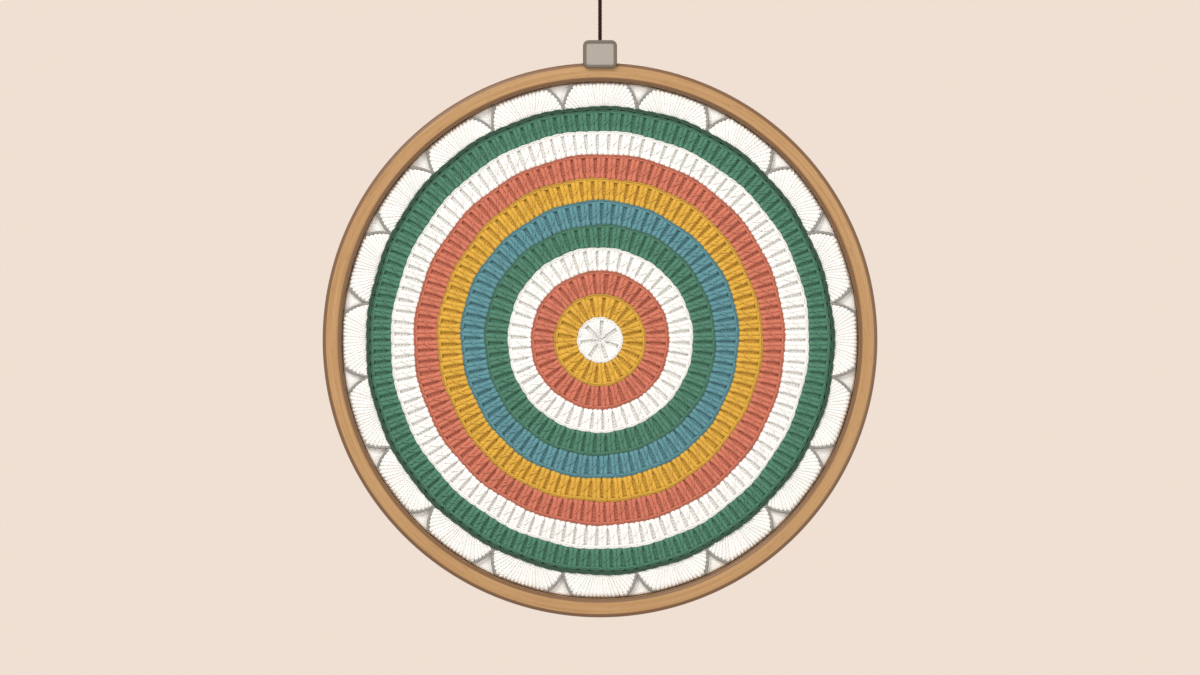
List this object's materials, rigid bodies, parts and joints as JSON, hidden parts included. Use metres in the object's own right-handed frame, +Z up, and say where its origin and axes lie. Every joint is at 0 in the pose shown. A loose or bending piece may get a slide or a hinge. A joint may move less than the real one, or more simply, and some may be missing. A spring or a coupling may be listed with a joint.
{
  "type": "crochet mandala wall hanging in a wooden embroidery hoop",
  "caption": "Round crochet mandala in coloured rounds with a scalloped white edge, stretched in a wooden embroidery hoop that hangs by a knotted cord on a metal clip.",
  "frame": {"origin": "the point where a hook bears, on the inside of the hanging loop's top, in the hoop's middle plane", "axes": "X to the right, Z up, the mandala's face towards -Y and the wall side towards +Y"},
  "size_m": [0.31, 0.0183, 0.3896],
  "materials": {
    "beech_waxed": "satin",
    "beech_plain": "matte",
    "ground_cotton": "matte",
    "yarn_white": "matte",
    "yarn_mustard": "matte",
    "yarn_terracotta": "matte",
    "yarn_green": "matte",
    "yarn_blue": "matte",
    "yarn_edging": "matte",
    "yarn_grey": "matte",
    "clip_zinc": "satin",
    "cord_brown": "matte"
  },
  "bodies": {
    "root": {"outer_ring": "beech_waxed", "inner_ring": "beech_plain", "ground_cloth": "ground_cotton", "mandala": "yarn_white", "hanger_clip": "clip_zinc", "hang_cord": "cord_brown", "hang_knot": "cord_brown", "hang_loop": "cord_brown"}
  },
  "joints": []
}
